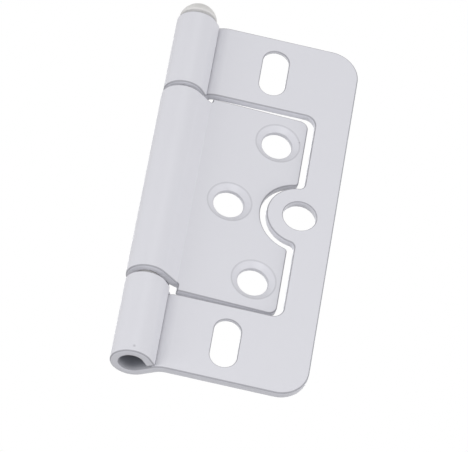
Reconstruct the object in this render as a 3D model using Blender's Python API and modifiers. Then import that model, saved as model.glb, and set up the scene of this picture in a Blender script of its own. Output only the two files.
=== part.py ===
"""Flush hinge: two leaves folded from sheet steel that nest in one plane, on a round-headed pin.

The pin's axis runs along Z. The leaves reach out along +X, and the side with the inner leaf's
countersinks faces -Y. The world origin lies on the frame leaf's seat, at mid height, on the strip
between the round hole and the outer edge. Lengths are in metres.
"""

import math

import bmesh
import bpy
from mathutils import Matrix

MM = 0.001

# Sheet and overall size
SHEET = 1.6 * MM                    # thickness of both leaves, paint included
HEIGHT = 75.0 * MM                  # frame leaf, end to end along the pin
LEAF_REACH = 30.65 * MM             # pin axis to the frame leaf's outer edge
CORNER_RADIUS = 5.4 * MM            # the frame leaf's two outer corners
EDGE_ROUND = 0.06 * MM              # softened cut edges

# Pin
PIN_DIAMETER = 4.0 * MM
PIN_HEAD_DIAMETER = 7.0 * MM
PIN_HEAD_HEIGHT = 3.0 * MM          # a cap of a sphere
PIN_HEAD_GAP = 0.8 * MM             # under the head, above the top knuckle
PIN_END_RECESS = 6.0 * MM           # the pin stops this far inside the bottom knuckle
PIN_END_CHAMFER = 0.4 * MM

# Knuckles: a roll of sheet on a sloping neck, closed by a straight tip
FRAME_BORE = 4.32 * MM
INNER_BORE = 4.6 * MM
FRAME_NECK_SLOPE = math.radians(33.0)   # from the leaf's plane
INNER_NECK_SLOPE = math.radians(40.0)
FRAME_NECK_BEND = 6.5 * MM          # radius where the neck leaves the leaf, at mid sheet
INNER_NECK_BEND = 1.1 * MM
ROLL_SWEEP = math.radians(278.0)    # how far the sheet is rolled before the straight tip
TIP_GAP = 0.2 * MM                  # from the tip of the roll to the neck
TOP_KNUCKLE_LENGTH = 16.22 * MM
BOTTOM_KNUCKLE_LENGTH = 16.86 * MM
KNUCKLE_GAP_TOP = 0.89 * MM         # between the top and the middle knuckle
KNUCKLE_GAP_BOTTOM = 1.08 * MM      # between the middle and the bottom knuckle

# Window in the frame leaf, with the tongue that carries the round hole
WINDOW_STEP_TOP = 0.75 * MM         # the window's top edge above the top knuckle's end
WINDOW_STEP_BOTTOM = 1.39 * MM      # its bottom edge below the bottom knuckle's end
STEP_SHARE = 0.85                   # radius in the corners there, as a share of the step
STRIP_WIDTH = 6.3 * MM              # beside the window, along the outer edge
WINDOW_CORNER_RADIUS = 2.0 * MM
WINDOW_START = 4.08 * MM            # pin axis to where the window widens past the knuckles
HOLE_INSET = 6.3 * MM               # round hole's centre to the outer edge
HOLE_DIAMETER = 6.04 * MM
TONGUE_RADIUS = 5.95 * MM
TONGUE_BLEND = 1.1 * MM

# Upright slots midway between the window and the frame leaf's ends, countersunk from the back
SLOT_INSET = 15.27 * MM             # slot's middle to the outer edge
SLOT_WIDTH = 4.8 * MM
SLOT_LENGTH = 9.85 * MM
SLOT_LAND = 0.7 * MM                # straight wall left at the front
SLOT_SINK_GROWTH = 0.9 * MM         # the countersink widens each side by this much

# Inner leaf
END_CLEARANCE = 0.86 * MM           # window to the inner leaf, at the top and the bottom
SIDE_CLEARANCE = 1.1 * MM           # window to the inner leaf's outer edge
TONGUE_CLEARANCE = 1.1 * MM         # tongue to the notch around it
INNER_CORNER_RADIUS = 1.6 * MM
NOTCH_BLEND = 0.8 * MM
INNER_START = 5.37 * MM             # pin axis to where the plate grows past its knuckle
INNER_LIFT = 0.11 * MM              # the leaf sits this much above mid height
REST_OPENING = math.radians(2.5)    # how far the hinge stands open
SCREW_HOLE_DIAMETER = 5.5 * MM
SINK_DIAMETER = 8.0 * MM
SCREW_HOLE_LAND = 0.75 * MM         # straight wall left at the back
OUTER_SCREW_INSET = 4.95 * MM       # the two outer screw holes to the inner leaf's outer edge
OUTER_SCREW_MARGIN = 6.13 * MM      # the two outer screw holes to the inner leaf's ends
MIDDLE_SCREW_INSET = 11.62 * MM     # the middle screw hole to the same edge

# Steps of the round forms
ROLL_STEPS = 54
BEND_STEPS = 5
HOLE_STEPS = 48
CORNER_STEPS = 6
PIN_STEPS = 48
HEAD_STEPS = 14

# Cutters reach this far past the sheet and the rolls
OVERSHOOT = 2.0 * MM
MERGE = 0.01 * MM

# Points nearer than this are joined before the edges are softened, because the shortest edge
# limits how far Bevel can cut
WELD = 0.08 * MM

PAINT = (0.84, 0.84, 0.88, 1.0)

# Worked out from the values above
HALF_HEIGHT = HEIGHT / 2
HALF_SHEET = SHEET / 2
TOP_KNUCKLE_START = HALF_HEIGHT - TOP_KNUCKLE_LENGTH
BOTTOM_KNUCKLE_END = BOTTOM_KNUCKLE_LENGTH - HALF_HEIGHT
WINDOW_TOP = TOP_KNUCKLE_START + WINDOW_STEP_TOP
WINDOW_BOTTOM = BOTTOM_KNUCKLE_END - WINDOW_STEP_BOTTOM
WINDOW_EDGE = LEAF_REACH - STRIP_WIDTH
HOLE_X = LEAF_REACH - HOLE_INSET
SLOT_X = LEAF_REACH - SLOT_INSET
TOP_SLOT_Z = (HALF_HEIGHT + WINDOW_TOP) / 2
BOTTOM_SLOT_Z = (WINDOW_BOTTOM - HALF_HEIGHT) / 2
INNER_EDGE = WINDOW_EDGE - SIDE_CLEARANCE
INNER_TOP = WINDOW_TOP - END_CLEARANCE
INNER_BOTTOM = WINDOW_BOTTOM + END_CLEARANCE
ROLL_REACH = max(FRAME_BORE, INNER_BORE) / 2 + SHEET + OVERSHOOT
SEAT_X = (HOLE_X + HOLE_DIAMETER / 2 + LEAF_REACH) / 2


def arc(centre, radius, start, end, steps):
    """Points on an arc from angle start to angle end, in radians."""
    return [(centre[0] + radius * math.cos(start + (end - start) * i / steps),
             centre[1] + radius * math.sin(start + (end - start) * i / steps))
            for i in range(steps + 1)]


def fillet(before, corner, after, radius):
    """The arc that rounds one corner of a polygon, outer or inner."""
    to_before = math.atan2(before[1] - corner[1], before[0] - corner[0])
    to_after = math.atan2(after[1] - corner[1], after[0] - corner[0])
    half = math.remainder(to_after - to_before, math.tau) / 2
    middle = to_before + half
    reach = radius / abs(math.sin(half))
    centre = (corner[0] + reach * math.cos(middle), corner[1] + reach * math.sin(middle))
    turn = math.copysign(math.pi / 2 - abs(half), half)
    facing = middle + math.pi
    return arc(centre, radius, facing + turn, facing - turn, CORNER_STEPS)


def outline(corners):
    """A closed outline from corners (x, z, radius), where radius 0 stays sharp."""
    points = []
    for i, (x, z, radius) in enumerate(corners):
        if radius:
            before = corners[i - 1]
            after = corners[(i + 1) % len(corners)]
            points += fillet(before[:2], (x, z), after[:2], radius)
        else:
            points.append((x, z))
    return points


def bulge(edge, centre_x, radius, blend):
    """An upright edge, going down, that swells to the left round a point and blends back.

    The same form makes the tongue in the window and the notch in the inner leaf.
    """
    blend_x = edge - blend
    blend_z = math.sqrt((radius + blend) ** 2 - (centre_x - blend_x) ** 2)
    lean = math.atan2(blend_z, centre_x - blend_x)
    upper = arc((blend_x, blend_z), blend, 0, -lean, CORNER_STEPS)
    swell = arc((centre_x, 0), radius, math.pi - lean, math.pi + lean, 4 * CORNER_STEPS)
    lower = arc((blend_x, -blend_z), blend, lean, 0, CORNER_STEPS)
    return upper + swell[1:-1] + lower


def obround(centre, width, length):
    """An upright slot's outline."""
    radius = width / 2
    rise = length / 2 - radius
    upper = arc((centre[0], centre[1] + rise), radius, 0, math.pi, HOLE_STEPS // 2)
    lower = arc((centre[0], centre[1] - rise), radius, math.pi, math.tau, HOLE_STEPS // 2)
    return upper + lower


def circle(centre, diameter):
    """A round hole's outline."""
    return arc(centre, diameter / 2, 0, math.tau, HOLE_STEPS)[:-1]


def sheet_path(outer_edge, bore, slope, bend_radius, side):
    """The middle of the sheet in plan: leaf, sloping neck, roll round the pin, straight tip.

    side is 1 where the neck leaves the leaf to the back (+Y) and -1 to the front.
    """
    roll = (bore + SHEET) / 2
    bend_x = roll / math.sin(slope) + bend_radius * math.tan(slope / 2)
    down = -math.pi / 2
    bend = arc((bend_x, bend_radius), bend_radius, down, down - slope, BEND_STEPS)
    roll_start = math.pi / 2 - slope
    roll_end = roll_start + ROLL_SWEEP
    turns = arc((0, 0), roll, roll_start, roll_end, ROLL_STEPS)
    past = ROLL_SWEEP - 1.5 * math.pi
    tip_rise = bore / 2 - TIP_GAP - (bore / 2 + SHEET) * math.sin(past)
    tip_length = tip_rise / math.cos(past)
    tip = (turns[-1][0] - tip_length * math.sin(roll_end),
           turns[-1][1] + tip_length * math.cos(roll_end))
    return [(x, side * y) for x, y in [(outer_edge, 0), *bend, *turns, tip]]


def new_object(name, mesh, collection, parent):
    """An object in a collection, under the empty that places it."""
    item = bpy.data.objects.new(name, mesh)
    collection.objects.link(item)
    item.parent = parent
    return item


def mesh_from(name, shape):
    """A mesh from a bmesh, with its faces turned outwards."""
    bmesh.ops.recalc_face_normals(shape, faces=shape.faces)
    mesh = bpy.data.meshes.new(name)
    shape.to_mesh(mesh)
    shape.free()
    return mesh


def sheet_strip(name, path, collection, parent):
    """The folded strip at full height: an open surface, thickened by Solidify."""
    shape = bmesh.new()
    line = [shape.verts.new((x, y, -HALF_HEIGHT - OVERSHOOT)) for x, y in path]
    edges = [shape.edges.new(pair) for pair in zip(line, line[1:])]
    raised = bmesh.ops.extrude_edge_only(shape, edges=edges)["geom"]
    top = [part for part in raised if isinstance(part, bmesh.types.BMVert)]
    bmesh.ops.translate(shape, verts=top, vec=(0, 0, HEIGHT + 2 * OVERSHOOT))
    strip = new_object(name, mesh_from(name, shape), collection, parent)
    solidify = strip.modifiers.new("sheet", "SOLIDIFY")
    solidify.thickness = SHEET
    solidify.offset = 0
    solidify.use_even_offset = True
    return strip


def as_guide(item):
    """Mark an object as a cutter, left out of the model."""
    item.hide_render = True
    item.display_type = "WIRE"
    return item


def blank(name, outlines, collection, parent):
    """The stamped outline with its holes, as a solid that the folded strip is trimmed to."""
    curve = bpy.data.curves.new(name, "CURVE")
    curve.dimensions = "2D"
    curve.fill_mode = "BOTH"
    curve.extrude = ROLL_REACH
    for points in outlines:
        spline = curve.splines.new("POLY")
        spline.points.add(len(points) - 1)
        for point, (x, z) in zip(spline.points, points):
            point.co = (x, z, 0, 1)
        spline.use_cyclic_u = True
    flat = bpy.data.objects.new(name, curve)
    collection.objects.link(flat)
    evaluated = flat.evaluated_get(bpy.context.evaluated_depsgraph_get())
    shape = bmesh.new()
    shape.from_mesh(bpy.data.meshes.new_from_object(evaluated))
    bpy.data.objects.remove(flat)
    bmesh.ops.remove_doubles(shape, verts=shape.verts, dist=MERGE)
    bmesh.ops.rotate(shape, verts=shape.verts, matrix=Matrix.Rotation(math.pi / 2, 3, "X"))
    return as_guide(new_object(name, mesh_from(name, shape), collection, parent))


def countersunk(name, hole, sink, land, side, collection, parent):
    """A cutter for a countersunk hole: straight through the land, then a loft to the sink.

    side is 1 where the countersink opens to the back (+Y) and -1 to the front. The loft runs
    on past the face, in the same slope.
    """
    past = 1 + OVERSHOOT / (SHEET - land)
    shape = bmesh.new()
    rings = []
    for y, grow in ((-HALF_SHEET - OVERSHOOT, 0), (land - HALF_SHEET, 0),
                    (HALF_SHEET + OVERSHOOT, past)):
        ring = [shape.verts.new((a[0] + (b[0] - a[0]) * grow, side * y,
                                 a[1] + (b[1] - a[1]) * grow)) for a, b in zip(hole, sink)]
        rings.append([shape.edges.new((ring[i - 1], point)) for i, point in enumerate(ring)])
    for lower, upper in zip(rings, rings[1:]):
        bmesh.ops.bridge_loops(shape, edges=lower + upper)
    bmesh.ops.holes_fill(shape, edges=rings[0] + rings[-1])
    return as_guide(new_object(name, mesh_from(name, shape), collection, parent))


def trim(leaf, operation, cutter):
    """Add a Boolean to a leaf."""
    boolean = leaf.modifiers.new(cutter.name, "BOOLEAN")
    boolean.operation = operation
    boolean.solver = "EXACT"
    boolean.object = cutter


def finish(item, material):
    """Soften the cut edges, shade smooth and paint."""
    weld = item.modifiers.new("short_edges", "WELD")
    weld.merge_threshold = WELD
    bevel = item.modifiers.new("edge_round", "BEVEL")
    bevel.width = EDGE_ROUND
    bevel.segments = 1
    bevel.limit_method = "ANGLE"
    bevel.angle_limit = math.radians(25)
    bevel.harden_normals = True
    item.data.materials.append(material)
    item.data.shade_smooth()


def frame_leaf(parts, cutters, parent, material):
    """The fixed leaf: a window with a tongue, two knuckles, two slots and a round hole."""
    left = -ROLL_REACH
    window_top = [(LEAF_REACH, HALF_HEIGHT, CORNER_RADIUS), (left, HALF_HEIGHT, 0),
                  (left, TOP_KNUCKLE_START, 0), (WINDOW_START, TOP_KNUCKLE_START, 0),
                  (WINDOW_START, WINDOW_TOP, STEP_SHARE * WINDOW_STEP_TOP),
                  (WINDOW_EDGE, WINDOW_TOP, WINDOW_CORNER_RADIUS)]
    tongue = [(x, z, 0) for x, z in bulge(WINDOW_EDGE, HOLE_X, TONGUE_RADIUS, TONGUE_BLEND)]
    window_bottom = [(WINDOW_EDGE, WINDOW_BOTTOM, WINDOW_CORNER_RADIUS),
                     (WINDOW_START, WINDOW_BOTTOM, STEP_SHARE * WINDOW_STEP_BOTTOM),
                     (WINDOW_START, BOTTOM_KNUCKLE_END, 0), (left, BOTTOM_KNUCKLE_END, 0),
                     (left, -HALF_HEIGHT, 0), (LEAF_REACH, -HALF_HEIGHT, CORNER_RADIUS)]
    hole = circle((HOLE_X, 0), HOLE_DIAMETER)
    path = sheet_path(LEAF_REACH + OVERSHOOT, FRAME_BORE, FRAME_NECK_SLOPE, FRAME_NECK_BEND, 1)
    leaf = sheet_strip("frame_leaf", path, parts, parent)
    shape = outline(window_top + tongue + window_bottom)
    trim(leaf, "INTERSECT", blank("frame_blank", [shape, hole], cutters, parent))
    wider = 2 * SLOT_SINK_GROWTH
    for name, z in (("top_slot", TOP_SLOT_Z), ("bottom_slot", BOTTOM_SLOT_Z)):
        slot = obround((SLOT_X, z), SLOT_WIDTH, SLOT_LENGTH)
        sink = obround((SLOT_X, z), SLOT_WIDTH + wider, SLOT_LENGTH + wider)
        trim(leaf, "DIFFERENCE", countersunk(name, slot, sink, SLOT_LAND, 1, cutters, parent))
    finish(leaf, material)
    return leaf


def inner_leaf(parts, cutters, parent, material):
    """The swinging leaf: a plate notched round the tongue, with the middle knuckle."""
    left = -ROLL_REACH
    knuckle_top = TOP_KNUCKLE_START - KNUCKLE_GAP_TOP - INNER_LIFT
    knuckle_bottom = BOTTOM_KNUCKLE_END + KNUCKLE_GAP_BOTTOM - INNER_LIFT
    top = [(left, knuckle_top, 0), (INNER_START, knuckle_top, 0),
           (INNER_START, INNER_TOP, 0), (INNER_EDGE, INNER_TOP, INNER_CORNER_RADIUS)]
    notch = [(x, z, 0) for x, z in
             bulge(INNER_EDGE, HOLE_X, TONGUE_RADIUS + TONGUE_CLEARANCE, NOTCH_BLEND)]
    bottom = [(INNER_EDGE, INNER_BOTTOM, INNER_CORNER_RADIUS), (INNER_START, INNER_BOTTOM, 0),
              (INNER_START, knuckle_bottom, 0), (left, knuckle_bottom, 0)]
    outer_x = INNER_EDGE - OUTER_SCREW_INSET
    places = {"upper": (outer_x, INNER_TOP - OUTER_SCREW_MARGIN),
              "middle": (INNER_EDGE - MIDDLE_SCREW_INSET, 0),
              "lower": (outer_x, INNER_BOTTOM + OUTER_SCREW_MARGIN)}
    path = sheet_path(LEAF_REACH, INNER_BORE, INNER_NECK_SLOPE, INNER_NECK_BEND, -1)
    leaf = sheet_strip("inner_leaf", path, parts, parent)
    shape = outline(top + notch + bottom)
    trim(leaf, "INTERSECT", blank("inner_blank", [shape], cutters, parent))
    for name, place in places.items():
        hole = circle(place, SCREW_HOLE_DIAMETER)
        sink = circle(place, SINK_DIAMETER)
        trim(leaf, "DIFFERENCE", countersunk(f"{name}_screw_hole", hole, sink, SCREW_HOLE_LAND,
                                             -1, cutters, parent))
    finish(leaf, material)
    return leaf


def hinge_pin(parts, parent, material):
    """The pin: a domed head over a straight shank, turned from one profile."""
    shank = PIN_DIAMETER / 2
    head = PIN_HEAD_DIAMETER / 2
    seat = HALF_HEIGHT + PIN_HEAD_GAP
    end = PIN_END_RECESS - HALF_HEIGHT
    ball = (head ** 2 + PIN_HEAD_HEIGHT ** 2) / (2 * PIN_HEAD_HEIGHT)
    drop = ball - PIN_HEAD_HEIGHT
    dome = arc((0, seat - drop), ball, math.pi / 2, math.asin(drop / ball), HEAD_STEPS)
    profile = dome + [(shank, seat), (shank, end + PIN_END_CHAMFER),
                      (shank - PIN_END_CHAMFER, end), (0, end)]
    shape = bmesh.new()
    line = [shape.verts.new((radius, 0, z)) for radius, z in profile]
    for pair in zip(line, line[1:]):
        shape.edges.new(pair)
    mesh = bpy.data.meshes.new("hinge_pin")
    shape.to_mesh(mesh)
    shape.free()
    pin = new_object("hinge_pin", mesh, parts, parent)
    screw = pin.modifiers.new("turned", "SCREW")
    screw.steps = PIN_STEPS
    screw.render_steps = PIN_STEPS
    screw.use_merge_vertices = True
    screw.merge_threshold = MERGE
    screw.use_smooth_shade = True
    mesh.materials.append(material)
    return pin


def paint(name):
    """White powder coat."""
    material = bpy.data.materials.new(name)
    material.use_nodes = True
    shader = material.node_tree.nodes["Principled BSDF"]
    shader.inputs["Base Color"].default_value = PAINT
    shader.inputs["Roughness"].default_value = 0.45
    shader.inputs["Metallic"].default_value = 0.0
    material.diffuse_color = PAINT
    return material


def new_collection(name):
    """A collection in the scene."""
    collection = bpy.data.collections.new(name)
    bpy.context.scene.collection.children.link(collection)
    return collection


def new_empty(name, collection, parent=None):
    """An empty that places what is parented to it."""
    empty = bpy.data.objects.new(name, None)
    empty.empty_display_size = PIN_HEAD_DIAMETER
    collection.objects.link(empty)
    empty.parent = parent
    return empty


def main():
    """Build the hinge in an empty scene."""
    for item in list(bpy.data.objects):
        bpy.data.objects.remove(item)
    parts = new_collection("flush_hinge")
    cutters = new_collection("cutters")
    pin_axis = new_empty("pin_axis", parts)
    pin_axis.location = (-SEAT_X, HALF_SHEET, 0)
    swing = new_empty("inner_leaf_swing", parts, pin_axis)
    swing.location = (0, 0, INNER_LIFT)
    swing.rotation_euler = (0, 0, REST_OPENING)
    frame_leaf(parts, cutters, pin_axis, paint("frame_leaf_paint"))
    inner_leaf(parts, cutters, swing, paint("inner_leaf_paint"))
    hinge_pin(parts, pin_axis, paint("hinge_pin_paint"))


main()
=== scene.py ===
"""A white powder-coated flush hinge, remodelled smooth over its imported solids.

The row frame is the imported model's: metres, the pin's axis upright, the leaves towards +X and
the side with the inner leaf's countersinks towards -Y. Each leaf is made as the real one is:
the blank is cut flat, its edges and holes are softened, and it is then rolled along its section.
"""

import logging
import math
from abc import ABC, abstractmethod
from collections.abc import Sequence
from dataclasses import dataclass, field, replace
from enum import Enum, IntEnum

import bpy
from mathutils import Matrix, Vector


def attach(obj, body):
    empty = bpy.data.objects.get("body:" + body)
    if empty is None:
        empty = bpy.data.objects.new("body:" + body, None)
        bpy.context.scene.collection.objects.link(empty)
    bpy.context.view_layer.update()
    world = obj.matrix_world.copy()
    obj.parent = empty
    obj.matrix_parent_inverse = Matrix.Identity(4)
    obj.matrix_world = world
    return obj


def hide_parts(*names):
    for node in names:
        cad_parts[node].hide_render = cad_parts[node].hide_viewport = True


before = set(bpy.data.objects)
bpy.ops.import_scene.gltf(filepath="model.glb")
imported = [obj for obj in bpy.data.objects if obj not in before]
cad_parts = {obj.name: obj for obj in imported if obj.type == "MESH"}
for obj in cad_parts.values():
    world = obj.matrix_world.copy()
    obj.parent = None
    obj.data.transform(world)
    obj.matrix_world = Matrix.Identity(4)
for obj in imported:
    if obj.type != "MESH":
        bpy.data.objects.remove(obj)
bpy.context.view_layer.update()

LOG = logging.getLogger("flush_hinge")

MM = 0.001
MERGE = 0.0001 * MM
QUARTER = math.pi / 2
FULL = math.tau

# The material numbers of the softened edges, and how strongly painted shade darkens each kind.
EDGE_FACE, RIM_FACE = 1, 2
EDGE_SHADE = "painted_edge_shade"
EDGE_SHADING = {EDGE_FACE: 1.0, RIM_FACE: 0.35}

# Edges that turn by more than this angle are rounded, in steps that each turn by less.
SHARP_ANGLE = math.radians(25)
ROUND_STEPS = 4

WHITE = (1.0, 1.0, 1.0, 1.0)

Point = tuple[float, float]


class Side(IntEnum):
    """A side of a flat leaf: the back is towards +Y and the front towards -Y."""

    BACK = 1
    FRONT = -1


class Drawing(Enum):
    """A plane to draw in, with the axis that the spin operator turns anticlockwise about."""

    PLAN = (0, 0, -1)
    FACE = (0, 1, 0)

    def place(self, point: Point) -> Vector:
        """A point of the drawing in space."""
        across, up = point
        return Vector((across, up, 0)) if self is Drawing.PLAN else Vector((across, 0, up))


def deselect() -> None:
    """Deselects every object."""
    bpy.ops.object.select_all(action="DESELECT")


def choose(item: bpy.types.Object) -> None:
    """Makes one object the selected and active one.

    Args:
        item: the object.
    """
    deselect()
    item.select_set(True)
    bpy.context.view_layer.objects.active = item


def apply_modifier(item: bpy.types.Object, kind: str, **settings: object) -> None:
    """Adds a modifier to an object and applies it.

    Args:
        item: the object.
        kind: the modifier's type.
        settings: the modifier's properties by name.
    """
    choose(item)
    modifier = item.modifiers.new(kind.lower(), kind)
    for name, value in settings.items():
        setattr(modifier, name, value)
    bpy.ops.object.modifier_apply(modifier=modifier.name)


def cut(item: bpy.types.Object, tool: bpy.types.Object) -> None:
    """Cuts one solid out of another and removes the tool.

    Args:
        item: the solid that is cut.
        tool: the solid that cuts.
    """
    apply_modifier(item, "BOOLEAN", operation="DIFFERENCE", solver="EXACT", object=tool)
    bpy.data.objects.remove(tool)


class Pen:
    """Draws one line of a new mesh with the extrude and spin operators."""

    def __init__(self, name: str, drawing: Drawing, start: Point) -> None:
        """Starts the line.

        Args:
            name: the new object's name.
            drawing: the plane of the line.
            start: its first point.
        """
        deselect()
        # A plane that is merged to its centre is the line's first point.
        bpy.ops.mesh.primitive_plane_add(size=MM)
        self.item = bpy.context.object
        self.item.name = name
        self.drawing = drawing
        self.at = start
        bpy.ops.object.mode_set(mode="EDIT")
        bpy.ops.mesh.select_mode(type="VERT")
        bpy.ops.mesh.select_all(action="SELECT")
        bpy.ops.mesh.merge(type="CENTER")
        bpy.ops.transform.translate(value=drawing.place(start))

    def line(self, *points: Point) -> "Pen":
        """Draws straight on.

        Args:
            points: the points that the line goes through.

        Returns:
            The pen.
        """
        for point in points:
            step = self.drawing.place(point) - self.drawing.place(self.at)
            bpy.ops.mesh.extrude_region_move(TRANSFORM_OT_translate={"value": step})
            self.at = point
        return self

    def turn(self, centre: Point, sweep: float, steps: int) -> "Pen":
        """Draws an arc.

        Args:
            centre: the arc's centre.
            sweep: its angle in radians, positive anticlockwise.
            steps: the number of straight steps that it is drawn in.

        Returns:
            The pen.
        """
        bpy.ops.mesh.spin(steps=steps, angle=sweep, center=self.drawing.place(centre),
                          axis=self.drawing.value)
        across, up = self.at[0] - centre[0], self.at[1] - centre[1]
        cosine, sine = math.cos(sweep), math.sin(sweep)
        self.at = (centre[0] + across * cosine - up * sine, centre[1] + across * sine + up * cosine)
        return self

    def corner(self, corner: Point, after: Point, radius: float, steps: int) -> "Pen":
        """Draws towards a corner and round it.

        Args:
            corner: the sharp corner.
            after: a point that the line goes towards past the corner.
            radius: the corner's radius.
            steps: the number of steps in its arc.

        Returns:
            The pen.
        """
        start, middle, end = Vector(self.at), Vector(corner), Vector(after)
        ahead, onward = (middle - start).normalized(), (end - middle).normalized()
        sweep = math.atan2(ahead.x * onward.y - ahead.y * onward.x, ahead.dot(onward))
        tangent = middle - ahead * radius * math.tan(abs(sweep) / 2)
        side = math.copysign(radius, sweep)
        centre = tangent + Vector((-ahead.y, ahead.x)) * side
        return self.line(tuple(tangent)).turn(tuple(centre), sweep, steps)

    def rounded(self, corners: Sequence[tuple[float, float, float]], after: Point,
                steps: int) -> "Pen":
        """Draws through corners, each with its own radius.

        Args:
            corners: the corners, as across, up and radius, where radius 0 is sharp.
            after: a point that the line goes towards past the last corner.
            steps: the number of steps in each arc.

        Returns:
            The pen.
        """
        following = [corner[:2] for corner in corners[1:]] + [after]
        for (across, up, radius), towards in zip(corners, following):
            if radius:
                self.corner((across, up), towards, radius, steps)
            else:
                self.line((across, up))
        return self

    def merge(self) -> None:
        """Merges the points that meet, and leaves all selected."""
        bpy.ops.mesh.select_all(action="SELECT")
        bpy.ops.mesh.remove_doubles(threshold=MERGE)
        bpy.ops.mesh.select_all(action="SELECT")

    def lift(self) -> bpy.types.Object:
        """Ends an open line.

        Returns:
            The line's object.
        """
        self.merge()
        bpy.ops.object.mode_set(mode="OBJECT")
        return self.item

    def slab(self, thickness: float) -> bpy.types.Object:
        """Fills a closed outline and gives it a thickness, half to each side of the drawing.

        Args:
            thickness: the slab's thickness.

        Returns:
            The slab.
        """
        self.merge()
        bpy.ops.mesh.edge_face_add()
        bpy.ops.transform.translate(value=(0, -thickness / 2, 0))
        bpy.ops.mesh.extrude_region_move(TRANSFORM_OT_translate={"value": (0, thickness, 0)})
        return self.solid()

    def solid(self) -> bpy.types.Object:
        """Ends a closed shape, with its faces turned outwards.

        Returns:
            The shape's object.
        """
        self.merge()
        bpy.ops.mesh.normals_make_consistent(inside=False)
        bpy.ops.object.mode_set(mode="OBJECT")
        return self.item


@dataclass(frozen=True)
class ScrewHole:
    """A hole through a leaf, round or an upright slot, straight or countersunk.

    The land is the straight wall that a countersink leaves, the growth is what it adds to the
    hole's half width, and past is how far the cutting solid reaches beyond the leaf.
    """

    centre: Point
    width: float
    length: float = 0.0
    land: float = 0.0
    growth: float = 0.0
    side: Side = Side.BACK
    past: float = 2.0 * MM
    steps: int = 96

    def tool(self, sheet: float) -> bpy.types.Object:
        """The solid that cuts the hole: half a section, spun round the hole's ends.

        Args:
            sheet: the leaf's thickness.

        Returns:
            The cutting solid.
        """
        radius, half, far = self.width / 2, sheet / 2, sheet / 2 + self.past
        rise = max(self.length - self.width, 0) / 2
        profile = [(0, -far), (radius, -far)]
        if self.growth:
            deep = self.land - half
            slope = self.growth / (half - deep)
            profile += [(radius, deep), (radius + slope * (far - deep), far)]
        else:
            profile.append((radius, far))
        profile.append((0, far))
        points = [(across, self.side * depth) for across, depth in profile]
        pen = Pen("hole_tool", Drawing.PLAN, points[0]).line(*points[1:])
        bpy.ops.mesh.select_all(action="SELECT")
        if rise:
            bpy.ops.transform.translate(value=(0, 0, rise))
            for down, middle in ((-1, rise), (1, -rise)):
                bpy.ops.mesh.spin(steps=self.steps // 2, angle=math.pi, center=(0, 0, middle),
                                  axis=Drawing.FACE.value)
                bpy.ops.mesh.extrude_region_move(
                    TRANSFORM_OT_translate={"value": (0, 0, 2 * rise * down)})
        else:
            bpy.ops.mesh.spin(steps=self.steps, angle=FULL, center=(0, 0, 0),
                              axis=Drawing.FACE.value)
        tool = pen.solid()
        tool.location = Drawing.FACE.place(self.centre)
        return tool


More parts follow.
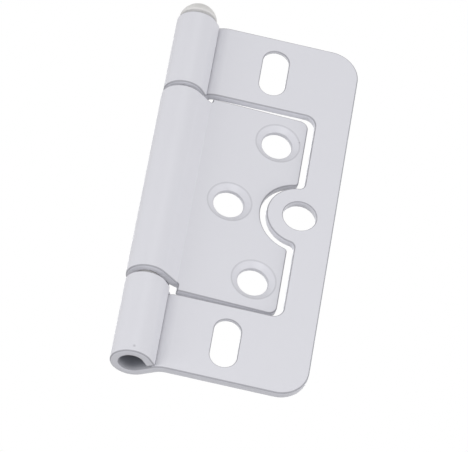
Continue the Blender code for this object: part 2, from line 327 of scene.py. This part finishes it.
@dataclass(frozen=True)
class Fold:
    """The section that a leaf is rolled along: straight tip, roll, sloping neck, bend, flat.

    The neck leaves the flat on the given side. Lengths along the flat start at the pin's axis.
    """

    sheet: float
    bore: float
    reach: float
    side: Side
    slope: float
    bend_radius: float
    sweep: float = math.radians(278.0)
    tip_gap: float = 0.2 * MM
    lead: float = 1.0 * MM
    roll_steps: int = 96
    bend_steps: int = 16

    @property
    def roll(self) -> float:
        """The roll's radius at the middle of the sheet."""
        return (self.bore + self.sheet) / 2

    @property
    def tip(self) -> float:
        """How long the straight tip is.

        Returns:
            The length at which the tip's outer corner stops short of the neck by the tip gap.
        """
        past = self.sweep - 3 * QUARTER
        rise = self.bore / 2 - self.tip_gap - (self.bore / 2 + self.sheet) * math.sin(past)
        return rise / math.cos(past)

    @property
    def neck(self) -> float:
        """The length of the straight slope between the roll and the bend."""
        return self.roll / math.tan(self.slope) - self.bend_radius * math.tan(self.slope / 2)

    @property
    def bend_x(self) -> float:
        """Where the flat ends and the bend starts."""
        return self.roll / math.sin(self.slope) + self.bend_radius * math.tan(self.slope / 2)

    def chord(self, radius: float, sweep: float, steps: int) -> float:
        """The length of one straight step of an arc."""
        return 2 * radius * math.sin(sweep / steps / 2)

    def stations(self) -> list[float]:
        """Where the flat blank is creased.

        Returns:
            The creases as x of the flat blank, from the bend to the tip.
        """
        bend = self.chord(self.bend_radius, self.slope, self.bend_steps)
        roll = self.chord(self.roll, self.sweep, self.roll_steps)
        places = [self.bend_x - bend * i for i in range(self.bend_steps + 1)]
        places.append(places[-1] - self.neck)
        places += [places[-1] - roll * (i + 1) for i in range(self.roll_steps)]
        return places

    def end_x(self) -> float:
        """The free end of the blank, as x of the flat blank."""
        return self.stations()[-1] - self.tip

    def flat_x(self, x: float) -> float:
        """Where a point of the flat or of the bend lies on the flat blank.

        Args:
            x: the point's distance from the pin's axis, in plan.

        Returns:
            The same point's x on the flat blank.
        """
        if x >= self.bend_x:
            return x
        lean = math.asin((self.bend_x - x) / self.bend_radius)
        return self.bend_x - self.bend_radius * lean

    def path(self) -> bpy.types.Object:
        """The section as a flat curve.

        Returns:
            The curve, from a lead before the tip to a lead past the outer edge.
        """
        angle = QUARTER - self.slope + self.sweep
        free = (self.roll * math.cos(angle), self.roll * math.sin(angle) * self.side)
        onward = (-math.sin(angle), math.cos(angle) * self.side)
        start = tuple(free[i] + onward[i] * (self.tip + self.lead) for i in range(2))
        bend_start = (self.bend_x - self.bend_radius * math.sin(self.slope),
                      self.bend_radius * (1 - math.cos(self.slope)) * self.side)
        pen = Pen("section", Drawing.PLAN, start).line(free)
        pen.turn((0, 0), -self.sweep * self.side, self.roll_steps).line(bend_start)
        pen.turn((self.bend_x, self.bend_radius * self.side), self.slope * self.side,
                 self.bend_steps)
        item = pen.line((self.reach + self.lead, 0)).lift()
        choose(item)
        bpy.ops.object.convert(target="CURVE")
        item = bpy.context.object
        item.data.dimensions = "2D"
        return item

    def roll_up(self, blank: bpy.types.Object) -> None:
        """Creases a flat blank at each station and rolls it along the section.

        Args:
            blank: the flat leaf, with x from the pin's axis in its flat part.
        """
        choose(blank)
        bpy.ops.object.mode_set(mode="EDIT")
        for x in self.stations():
            bpy.ops.mesh.select_all(action="SELECT")
            bpy.ops.mesh.bisect(plane_co=(x, 0, 0), plane_no=(1, 0, 0))
        bpy.ops.object.mode_set(mode="OBJECT")
        path = self.path()
        blank.location.x = self.lead - self.end_x()
        apply_modifier(blank, "CURVE", object=path, deform_axis="POS_X")
        bpy.data.objects.remove(path)


def srgb(code: str) -> tuple[float, float, float, float]:
    """Turns a hex colour into the linear one that a shader takes.

    Args:
        code: six hex digits of an sRGB colour.

    Returns:
        Linear red, green and blue, with alpha 1.
    """
    parts = [int(code[i:i + 2], 16) / 255 for i in (0, 2, 4)]
    linear = [c / 12.92 if c <= 0.04045 else ((c + 0.055) / 1.055) ** 2.4 for c in parts]
    return (*linear, 1.0)


def add_node(tree: bpy.types.NodeTree, kind: str, inputs: dict[str | int, object] | None = None,
             **settings: object) -> bpy.types.Node:
    """Adds a node with its settings, values and links.

    Args:
        tree: the node tree.
        kind: the node's type, without the ShaderNode prefix.
        inputs: a value or an output socket for each input, by name or number.
        settings: the node's own properties.

    Returns:
        The new node.
    """
    node = tree.nodes.new("ShaderNode" + kind)
    for name, value in settings.items():
        setattr(node, name, value)
    for key, value in (inputs or {}).items():
        if isinstance(value, bpy.types.NodeSocket):
            tree.links.new(value, node.inputs[key])
        else:
            node.inputs[key].default_value = value
    return node


@dataclass(frozen=True)
class Bumps:
    """The bumps of one size in a coat's skin, with the detail of their noise."""

    size_mm: float
    depth_mm: float
    detail: float


@dataclass(frozen=True)
class PowderCoat:
    """White polyester powder coat, sprayed on the assembled hinge and baked, over steel.

    The powder melts into a thick satin skin. It evens out the light, rounds every edge and has
    a faint orange peel. Along every rounded edge the colour is darkened: painted shade. Inside the
    bottom knuckle, near the pin's axis, the bore, the roll's seam and the pin's end turn dark grey:
    partly steel under a thin dusting of powder, partly painted shade. One small spot of painted
    shade sits on the bottom knuckle's front, just above its end. The axis is the pin's, in plan,
    and the heights and the spot's place are measured from it at mid height.
    """

    name: str
    axis: Point
    colour: str = "D9D9DF"
    patch_colour: str = "D7D7DD"
    # The edge colour is painted shade along the rounded edges.
    edge_shade_colour: str = "A2A2A8"
    # The dusting colour is partly steel under a thin dusting, partly painted shade in the bore and
    # the seam.
    dusting_and_shade_colour: str = "7C7E86"
    roughness: float = 0.42
    refraction: float = 1.5
    patch_mm: float = 9.0
    patch_detail: float = 3.0
    patch_roughness: float = 0.55
    orange_peel: Bumps = Bumps(1.3, 0.004, 1.0)
    grain: Bumps = Bumps(0.3, 0.0008, 2.0)
    # These bound the dark grey inside the bottom knuckle, partly a dusting of powder, partly
    # painted shade.
    dusting_and_shade_radius: float = 3.6 * MM
    dusting_and_shade_from: float = -38.8 * MM
    dusting_and_shade_full: float = -36.0 * MM
    dusting_and_shade_start: float = -37.45 * MM
    dusting_and_shade_end: float = -27.0 * MM
    # This spot, with the next two values, is painted shade on the bottom knuckle's front, just
    # above its end.
    shade_spot: tuple[float, float, float] = (-0.2 * MM, -3.76 * MM, -36.35 * MM)
    shade_spot_radius: float = 0.42 * MM
    shade_spot_strength: float = 0.6

    def build(self) -> bpy.types.Material:
        """Makes the material.

        Returns:
            The material, with its nodes.
        """
        material = bpy.data.materials.new(self.name)
        material.use_nodes = True
        tree = material.node_tree
        shader = tree.nodes["Principled BSDF"]
        place = add_node(tree, "TexCoord").outputs["Object"]
        from_axis = add_node(tree, "VectorMath", {0: place, 1: (*self.axis, 0.0)},
                             operation="SUBTRACT").outputs[0]
        patches = add_node(tree, "TexNoise", {"Vector": place, "Scale": 1 / (self.patch_mm * MM),
                                              "Detail": self.patch_detail,
                                              "Roughness": self.patch_roughness})
        white = add_node(tree, "Mix", {"Factor": patches.outputs["Fac"],
                                       "A": srgb(self.patch_colour), "B": srgb(self.colour)},
                         data_type="RGBA")
        # Painted shade: the edge attribute and the small shade spot darken the white towards the
        # edge colour.
        edge_shade_attribute = add_node(tree, "Attribute", attribute_name=EDGE_SHADE)
        painted_shade = add_node(tree, "Math", {0: edge_shade_attribute.outputs["Fac"], 1: self.painted_shade(tree, from_axis)},
                          operation="MAXIMUM")
        edged = add_node(tree, "Mix", {"Factor": painted_shade.outputs[0],
                                       "A": white.outputs["Result"],
                                       "B": srgb(self.edge_shade_colour)}, data_type="RGBA")
        # The bore, the seam and the pin's end turn dark grey: partly a dusting over steel, partly
        # painted shade.
        colour = add_node(tree, "Mix", {"Factor": self.dusted_and_shaded(tree, from_axis),
                                        "A": edged.outputs["Result"],
                                        "B": srgb(self.dusting_and_shade_colour)}, data_type="RGBA")
        skin = {}
        for bumps in (self.orange_peel, self.grain):
            noise = add_node(tree, "TexNoise", {"Vector": place, "Detail": bumps.detail,
                                                "Scale": 1 / (bumps.size_mm * MM)})
            bump = add_node(tree, "Bump", {"Height": noise.outputs["Fac"],
                                           "Distance": bumps.depth_mm * MM, **skin})
            skin = {"Normal": bump.outputs["Normal"]}
        tree.links.new(colour.outputs["Result"], shader.inputs["Base Color"])
        tree.links.new(skin["Normal"], shader.inputs["Normal"])
        shader.inputs["Roughness"].default_value = self.roughness
        shader.inputs["IOR"].default_value = self.refraction
        return material

    def painted_shade(self, tree: bpy.types.NodeTree,
               from_axis: bpy.types.NodeSocket) -> bpy.types.NodeSocket:
        """Where the spot of painted shade above the bottom knuckle's end lies.

        Args:
            tree: the node tree.
            from_axis: the object coordinates from the pin's axis at mid height.

        Returns:
            A socket that rises from 0 at the spot's edge to its full strength in the middle.
        """
        away = add_node(tree, "VectorMath", {0: from_axis, 1: self.shade_spot}, operation="DISTANCE")
        thinning = add_node(tree, "MapRange", {"Value": away.outputs["Value"],
                                               "From Min": self.shade_spot_radius, "From Max": 0.0,
                                               "To Max": self.shade_spot_strength},
                            interpolation_type="SMOOTHSTEP")
        return thinning.outputs["Result"]

    def dusted_and_shaded(self, tree: bpy.types.NodeTree,
               from_axis: bpy.types.NodeSocket) -> bpy.types.NodeSocket:
        """Where the colour turns dark grey near the pin's axis inside the bottom knuckle: partly a
        dusting of powder over steel, partly painted shade.

        Args:
            tree: the node tree.
            from_axis: the object coordinates from the pin's axis at mid height.

        Returns:
            A socket that is 0 on the full coat and 1 where the dusting and the painted shade are
            full.
        """
        parts = add_node(tree, "SeparateXYZ", {0: from_axis})
        level = add_node(tree, "CombineXYZ", {0: parts.outputs["X"], 1: parts.outputs["Y"]})
        radius = add_node(tree, "VectorMath", {0: level.outputs[0]}, operation="LENGTH")
        near = add_node(tree, "Math", {0: radius.outputs["Value"], 1: self.dusting_and_shade_radius},
                        operation="LESS_THAN")
        deep = add_node(tree, "MapRange", {"Value": parts.outputs["Z"],
                                           "From Min": self.dusting_and_shade_from,
                                           "From Max": self.dusting_and_shade_full},
                        interpolation_type="SMOOTHSTEP")
        below = add_node(tree, "Math", {0: parts.outputs["Z"], 1: self.dusting_and_shade_end},
                         operation="LESS_THAN")
        above = add_node(tree, "Math", {0: parts.outputs["Z"], 1: self.dusting_and_shade_start},
                         operation="GREATER_THAN")
        share = deep.outputs["Result"]
        for inside in (near, below, above):
            share = add_node(tree, "Math", {0: share, 1: inside.outputs[0]},
                             operation="MULTIPLY").outputs[0]
        return share


@dataclass(frozen=True)
class HingeSizes:
    """The sizes that the leaves and the pin share. Places are measured from the pin's axis."""

    sheet: float = 1.6 * MM
    height: float = 75.0 * MM
    reach: float = 30.65 * MM
    top_knuckle: float = 16.22 * MM
    bottom_knuckle: float = 16.86 * MM
    window_step: float = 0.75 * MM
    strip: float = 6.3 * MM
    hole_inset: float = 6.3 * MM
    hole_width: float = 6.04 * MM
    tongue_radius: float = 5.95 * MM
    edge_round: float = 0.25 * MM
    rim_round: float = 0.2 * MM
    corner_steps: int = 24
    blend_steps: int = 12
    swell_steps: int = 72

    @property
    def top_start(self) -> float:
        """The level where the top knuckle starts."""
        return self.height / 2 - self.top_knuckle

    @property
    def bottom_end(self) -> float:
        """The level where the bottom knuckle ends."""
        return self.bottom_knuckle - self.height / 2

    @property
    def window_half(self) -> float:
        """Half the window's height."""
        return self.top_start + self.window_step

    @property
    def window_edge(self) -> float:
        """Where the window ends, at the strip along the outer edge."""
        return self.reach - self.strip

    @property
    def hole_x(self) -> float:
        """Where the tongue's hole has its centre."""
        return self.reach - self.hole_inset

    @property
    def axis(self) -> Vector:
        """The pin's axis in the row frame, whose origin is midway from the hole to the edge."""
        return Vector((-(self.hole_x + self.hole_width / 2 + self.reach) / 2, self.sheet / 2, 0))


def soften(leaf: bpy.types.Object, width: float, number: int) -> None:
    """Rounds a flat leaf's sharp edges and gives the new faces their own material number.

    Args:
        leaf: the leaf. Edges that are round already turn too little to be rounded again.
        width: how far the rounding reaches into each face.
        number: the material number, which tells the edges of the outline from the hole rims.
    """
    apply_modifier(leaf, "BEVEL", width=width, segments=ROUND_STEPS, limit_method="ANGLE",
                   angle_limit=SHARP_ANGLE, material=number, use_clamp_overlap=False)


def mark_edge_shade(mesh: bpy.types.Mesh) -> None:
    """Stores how strongly painted shade darkens the colour: most along the middle of each rounded
    edge, 0 elsewhere.

    Args:
        mesh: the mesh, whose rounded edges have their own material numbers.
    """
    values = [1.0] * len(mesh.vertices)
    for face in mesh.polygons:
        for point in face.vertices:
            values[point] = min(values[point], EDGE_SHADING.get(face.material_index, 0.0))
        face.material_index = 0
    edge_shade_attribute = mesh.attributes.new(EDGE_SHADE, "FLOAT", "POINT")
    edge_shade_attribute.data.foreach_set("value", values)


def finish(item: bpy.types.Object, place: Vector, opening: float,
           coat: bpy.types.Material) -> None:
    """Puts a piece in its place in the row frame, shades it smooth and paints it.

    Args:
        item: the piece, modelled about the pin's axis.
        place: where the pin's axis goes.
        opening: the angle that the piece is turned by about the axis.
        coat: its finish.
    """
    choose(item)
    bpy.ops.object.transform_apply(location=True, rotation=True, scale=True)
    item.rotation_euler = (0, 0, opening)
    item.location = place
    bpy.ops.object.transform_apply(location=True, rotation=True, scale=True)
    bpy.ops.object.shade_smooth()
    apply_modifier(item, "WEIGHTED_NORMAL")
    # Stores the painted edge shade as a point attribute.
    mark_edge_shade(item.data)
    item.data.materials.clear()
    item.data.materials.append(coat)


@dataclass
class Part(ABC):
    """A piece of the hinge, modelled about its own pin axis."""

    sizes: HingeSizes
    name: str
    node: str
    body: str
    slot: str
    opening: float = 0.0
    lift: float = 0.0

    @abstractmethod
    def shape(self) -> bpy.types.Object:
        """Models the piece."""

    def coat(self) -> PowderCoat:
        """The piece's finish."""
        return PowderCoat(f"powder_coat_on_{self.name}", self.sizes.axis[:2])

    def build(self) -> bpy.types.Object:
        """Makes the piece, puts it in its place and dresses it.

        Returns:
            The finished piece.
        """
        piece = self.shape()
        place = self.sizes.axis + Vector((0, 0, self.lift))
        finish(piece, place, self.opening, self.coat().build())
        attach(piece, self.body)
        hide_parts(self.node)
        return piece


@dataclass
class Leaf(Part):
    """A folded leaf: blank, holes, softened edges and roll."""

    rim_face: int = EDGE_FACE
    fold: Fold = field(init=False)

    @abstractmethod
    def blank(self) -> bpy.types.Object:
        """Cuts the flat outline, as a slab of sheet."""

    @abstractmethod
    def holes(self) -> list[ScrewHole]:
        """The leaf's holes."""

    def shape(self) -> bpy.types.Object:
        """Cuts the blank and its holes, softens their edges and rolls the knuckles.

        Returns:
            The folded leaf.
        """
        leaf = self.blank()
        # The softened faces keep their own numbers only where there are that many slots.
        for _ in range(RIM_FACE + 1):
            leaf.data.materials.append(None)
        soften(leaf, self.sizes.edge_round, EDGE_FACE)
        for hole in self.holes():
            cut(leaf, hole.tool(self.sizes.sheet))
        soften(leaf, self.sizes.rim_round, self.rim_face)
        self.fold.roll_up(leaf)
        return leaf

    def swell(self, pen: Pen, edge: float, radius: float, blend: float, way: int) -> None:
        """Draws along an upright edge that swells towards the pin, round the tongue's hole.

        Args:
            pen: the pen, before the swelling.
            edge: the edge's distance from the pin's axis.
            radius: the swelling's radius about the hole.
            blend: the radius that leads into it and out of it.
            way: 1 to draw up, -1 to draw down.
        """
        s = self.sizes
        blend_x = edge - blend
        blend_z = way * math.sqrt((radius + blend) ** 2 - (s.hole_x - blend_x) ** 2)
        lean = math.atan2(blend_z, s.hole_x - blend_x)
        pen.line((edge, -blend_z)).turn((blend_x, -blend_z), lean, s.blend_steps)
        pen.turn((s.hole_x, 0), -2 * lean, s.swell_steps)
        pen.turn((blend_x, blend_z), lean, s.blend_steps)


@dataclass
class FrameLeaf(Leaf):
    """The leaf that is screwed to the frame: a window with a tongue, and the outer knuckles."""

    name: str = "frame_leaf_sheet"
    node: str = "frame_leaf"
    body: str = "frame_side"
    slot: str = "frame_leaf_paint"
    bore: float = 4.32 * MM
    neck_slope: float = math.radians(36.0)
    neck_bend: float = 3.7 * MM
    roll_sweep: float = math.radians(272.0)
    corner_radius: float = 5.4 * MM
    window_radius: float = 2.0 * MM
    window_start: float = 4.08 * MM
    start_rounding: float = 0.65
    tip_radius: float = 0.5 * MM
    tongue_blend: float = 1.1 * MM
    slot_inset: float = 15.27 * MM
    slot_z: float = 29.765 * MM
    slot_width: float = 4.8 * MM
    slot_length: float = 9.85 * MM
    slot_land: float = 0.7 * MM
    slot_growth: float = 0.9 * MM

    def __post_init__(self) -> None:
        """Sets the section: the neck leaves the leaf to the back."""
        self.fold = Fold(self.sizes.sheet, self.bore, self.sizes.reach, Side.BACK,
                         self.neck_slope, self.neck_bend, self.roll_sweep)

    def blank(self) -> bpy.types.Object:
        """Cuts the flat outline, anticlockwise from the middle of the outer edge.

        Returns:
            The slab.
        """
        s = self.sizes
        half, step, end = s.height / 2, self.fold.flat_x(self.window_start), self.fold.end_x()
        top_round = self.start_rounding * (s.window_half - s.top_start)
        bottom_round = self.start_rounding * (s.window_half + s.bottom_end)
        pen = Pen(self.name, Drawing.FACE, (s.reach, 0))
        pen.rounded([(s.reach, half, self.corner_radius), (end, half, self.tip_radius),
                     (end, s.top_start, self.tip_radius), (step, s.top_start, 0),
                     (step, s.window_half, top_round),
                     (s.window_edge, s.window_half, self.window_radius)],
                    (s.window_edge, 0), s.corner_steps)
        self.swell(pen, s.window_edge, s.tongue_radius, self.tongue_blend, -1)
        pen.rounded([(s.window_edge, -s.window_half, self.window_radius),
                     (step, -s.window_half, bottom_round), (step, s.bottom_end, 0),
                     (end, s.bottom_end, self.tip_radius), (end, -half, self.tip_radius),
                     (s.reach, -half, self.corner_radius)], (s.reach, 0), s.corner_steps)
        pen.line((s.reach, 0))
        return pen.slab(s.sheet)

    def holes(self) -> list[ScrewHole]:
        """The leaf's holes.

        Returns:
            The two slots, countersunk from the back, and the plain hole in the tongue.
        """
        slot_x = self.sizes.reach - self.slot_inset
        slots = [ScrewHole((slot_x, z), self.slot_width, self.slot_length, self.slot_land,
                           self.slot_growth, Side.BACK) for z in (self.slot_z, -self.slot_z)]
        return [*slots, ScrewHole((self.sizes.hole_x, 0), self.sizes.hole_width)]


@dataclass
class InnerLeaf(Leaf):
    """The leaf that swings: notched round the tongue, with the middle knuckle."""

    name: str = "inner_leaf_sheet"
    node: str = "inner_leaf"
    body: str = "door_side"
    slot: str = "inner_leaf_paint"
    opening: float = math.radians(2.5)
    lift: float = 0.11 * MM
    rim_face: int = RIM_FACE
    bore: float = 4.6 * MM
    neck_slope: float = math.radians(40.0)
    neck_bend: float = 1.1 * MM
    end_clearance: float = 0.86 * MM
    side_clearance: float = 1.1 * MM
    tongue_clearance: float = 1.1 * MM
    start: float = 5.37 * MM
    corner_radius: float = 1.6 * MM
    relief: float = 0.35 * MM
    notch_blend: float = 0.8 * MM
    gap_top: float = 0.89 * MM
    gap_bottom: float = 1.08 * MM
    screw_inset: float = 4.95 * MM
    screw_margin: float = 6.13 * MM
    middle_inset: float = 11.62 * MM
    hole_width: float = 5.5 * MM
    sink_width: float = 8.0 * MM
    land: float = 0.75 * MM

    def __post_init__(self) -> None:
        """Sets the section: the neck leaves the leaf to the front."""
        self.fold = Fold(self.sizes.sheet, self.bore, self.sizes.reach, Side.FRONT,
                         self.neck_slope, self.neck_bend)

    @property
    def edge(self) -> float:
        """The outer edge's distance from the pin's axis."""
        return self.sizes.window_edge - self.side_clearance

    @property
    def half(self) -> float:
        """Half the plate's height."""
        return self.sizes.window_half - self.end_clearance

    def blank(self) -> bpy.types.Object:
        """Cuts the flat outline, anticlockwise from the outer edge above the notch.

        Returns:
            The slab.
        """
        s = self.sizes
        end, step = self.fold.end_x(), self.fold.flat_x(self.start)
        top = s.top_start - self.gap_top - self.lift
        bottom = s.bottom_end + self.gap_bottom - self.lift
        above = (self.edge, self.half - 2 * self.corner_radius)
        pen = Pen(self.name, Drawing.FACE, above)
        pen.rounded([(self.edge, self.half, self.corner_radius), (step, self.half, 0),
                     (step, top, self.relief), (end, top, 0), (end, bottom, 0),
                     (step, bottom, self.relief), (step, -self.half, 0),
                     (self.edge, -self.half, self.corner_radius)], (self.edge, 0), s.corner_steps)
        self.swell(pen, self.edge, s.tongue_radius + self.tongue_clearance, self.notch_blend, 1)
        pen.line(above)
        return pen.slab(s.sheet)

    def holes(self) -> list[ScrewHole]:
        """The leaf's holes.

        Returns:
            The three screw holes, countersunk from the front.
        """
        growth = (self.sink_width - self.hole_width) / 2
        screw_x, screw_z = self.edge - self.screw_inset, self.half - self.screw_margin
        places = [(screw_x, screw_z), (self.edge - self.middle_inset, 0), (screw_x, -screw_z)]
        return [ScrewHole(place, self.hole_width, 0.0, self.land, growth, Side.FRONT)
                for place in places]


@dataclass
class HingePin(Part):
    """The pin: a domed head, turned in one with its shank."""

    name: str = "turned_pin"
    node: str = "hinge_pin"
    body: str = "frame_side"
    slot: str = "hinge_pin_paint"
    shank: float = 2.0 * MM
    head: float = 3.5 * MM
    head_height: float = 3.0 * MM
    head_gap: float = 0.8 * MM
    rim: float = 0.3 * MM
    recess: float = 6.0 * MM
    chamfer: float = 0.4 * MM
    steps: int = 96
    dome_steps: int = 24
    rim_steps: int = 8

    def coat(self) -> PowderCoat:
        """The pin's finish, a warmer white than the leaves'."""
        return replace(super().coat(), colour="DAD9D8", patch_colour="D6D5D3")

    def shape(self) -> bpy.types.Object:
        """Turns the pin from its profile.

        Returns:
            The pin.
        """
        seat = self.sizes.height / 2 + self.head_gap
        end = self.recess - self.sizes.height / 2
        ball = (self.head ** 2 + self.head_height ** 2) / (2 * self.head_height)
        drop = ball - self.head_height
        rim_x = math.sqrt((ball - self.rim) ** 2 - (drop + self.rim) ** 2)
        lean = math.atan2(drop + self.rim, rim_x)
        pen = Pen(self.name, Drawing.FACE, (0, seat + self.head_height))
        pen.turn((0, seat - drop), lean - QUARTER, self.dome_steps)
        pen.turn((rim_x, seat + self.rim), -QUARTER - lean, self.rim_steps)
        pen.line((self.shank, seat), (self.shank, end + self.chamfer),
                 (self.shank - self.chamfer, end), (0, end))
        bpy.ops.mesh.select_all(action="SELECT")
        bpy.ops.mesh.spin(steps=self.steps, angle=FULL, center=(0, 0, 0), axis=(0, 0, 1))
        return pen.solid()


@dataclass(frozen=True)
class SoftLamp:
    """A round soft lamp that faces the hinge."""

    name: str
    place: tuple[float, float, float]
    power: float
    size: float = 0.7

    def hang(self) -> None:
        """Makes the lamp."""
        data = bpy.data.lights.new(self.name, "AREA")
        data.shape = "DISK"
        data.size = self.size
        data.energy = self.power
        lamp = bpy.data.objects.new(self.name, data)
        bpy.context.scene.collection.objects.link(lamp)
        lamp.location = self.place
        lamp.rotation_euler = (-lamp.location).to_track_quat("-Z", "Y").to_euler()


@dataclass
class Studio:
    """A pale floor, soft light from all round and the camera of the photograph.

    Floor and sky are brighter to the camera than in the light that they give, so that both look
    white and the hinge is not lit too strongly. The camera's turn is in degrees.
    """

    floor_level: float = -0.9
    floor_size: float = 8.0
    floor_colour: str = "F0F0F2"
    floor_tone: str = "8E8E90"
    floor_roughness: float = 0.9
    sky: float = 0.58
    sky_seen: float = 1.0
    lamps: tuple[SoftLamp, ...] = (
        SoftLamp("low_front_softbox", (-0.09, -0.89, -0.64), 4.2),
        SoftLamp("low_left_softbox", (-0.94, -0.34, -0.47), 4.6),
        SoftLamp("low_right_softbox", (0.94, -0.34, -0.47), 4.4),
        SoftLamp("high_front_softbox", (0.0, -0.9, 0.64), 1.0),
        SoftLamp("high_back_softbox", (0.0, 1.0, 0.45), 3.5),
    )
    camera_place: tuple[float, float, float] = (-0.05846, -0.59355, -0.42244)
    camera_turn: tuple[float, float, float] = (125.4756, -8.4572, -10.0900)
    lens: float = 316.81
    sensor: float = 36.0
    near: float = 0.05
    far: float = 20.0

    def build(self) -> None:
        """Sets up the floor, the light and the camera."""
        self.lay_floor()
        self.light()
        self.set_camera()
        bpy.context.scene.view_settings.view_transform = "Standard"

    def seen(self, tree: bpy.types.NodeTree) -> bpy.types.NodeSocket:
        """1 for what is seen straight, in a reflection or through glass, 0 for light.

        Args:
            tree: the node tree.

        Returns:
            The socket.
        """
        rays = add_node(tree, "LightPath")
        seen = add_node(tree, "Math", {0: rays.outputs["Is Camera Ray"],
                                       1: rays.outputs["Is Glossy Ray"]}, operation="MAXIMUM")
        through = add_node(tree, "Math", {0: seen.outputs[0],
                                          1: rays.outputs["Is Transmission Ray"]},
                           operation="MAXIMUM")
        return through.outputs[0]

    def lay_floor(self) -> None:
        """Lays the floor well below the hinge, which its screws would hold up."""
        deselect()
        bpy.ops.mesh.primitive_plane_add(size=self.floor_size, location=(0, 0, self.floor_level))
        floor = bpy.context.object
        floor.name = "studio_floor"
        material = bpy.data.materials.new("matt_white_board")
        material.use_nodes = True
        tree = material.node_tree
        shader = tree.nodes["Principled BSDF"]
        tone = add_node(tree, "Mix", {"Factor": self.seen(tree), "A": srgb(self.floor_tone),
                                      "B": srgb(self.floor_colour)}, data_type="RGBA")
        tree.links.new(tone.outputs["Result"], shader.inputs["Base Color"])
        shader.inputs["Roughness"].default_value = self.floor_roughness
        floor.data.materials.append(material)

    def light(self) -> None:
        """Lights the hinge from a pale sky and from soft lamps."""
        world = bpy.data.worlds.new("soft_studio")
        bpy.context.scene.world = world
        world.use_nodes = True
        tree = world.node_tree
        tree.nodes.clear()
        light = add_node(tree, "Background", {"Color": WHITE, "Strength": self.sky})
        white = add_node(tree, "Background", {"Color": WHITE, "Strength": self.sky_seen})
        mixed = add_node(tree, "MixShader", {0: self.seen(tree), 1: light.outputs[0],
                                             2: white.outputs[0]})
        add_node(tree, "OutputWorld", {"Surface": mixed.outputs[0]})
        for lamp in self.lamps:
            lamp.hang()

    def set_camera(self) -> None:
        """Puts the camera where the photograph was taken from."""
        data = bpy.data.cameras.new("photo_camera")
        data.lens = self.lens
        data.sensor_width = self.sensor
        data.clip_start, data.clip_end = self.near, self.far
        camera = bpy.data.objects.new("photo_camera", data)
        bpy.context.scene.collection.objects.link(camera)
        camera.location = self.camera_place
        camera.rotation_euler = [math.radians(angle) for angle in self.camera_turn]
        bpy.context.scene.camera = camera


def main() -> None:
    """Builds the hinge piece by piece, then the studio."""
    logging.basicConfig(level=logging.INFO, format="%(name)s: %(message)s")
    sizes = HingeSizes()
    for part in (FrameLeaf(sizes), InnerLeaf(sizes), HingePin(sizes)):
        piece = part.build()
        LOG.info("%s has %d faces", piece.name, len(piece.data.polygons))
    Studio().build()


if __name__ == "__main__":
    main()
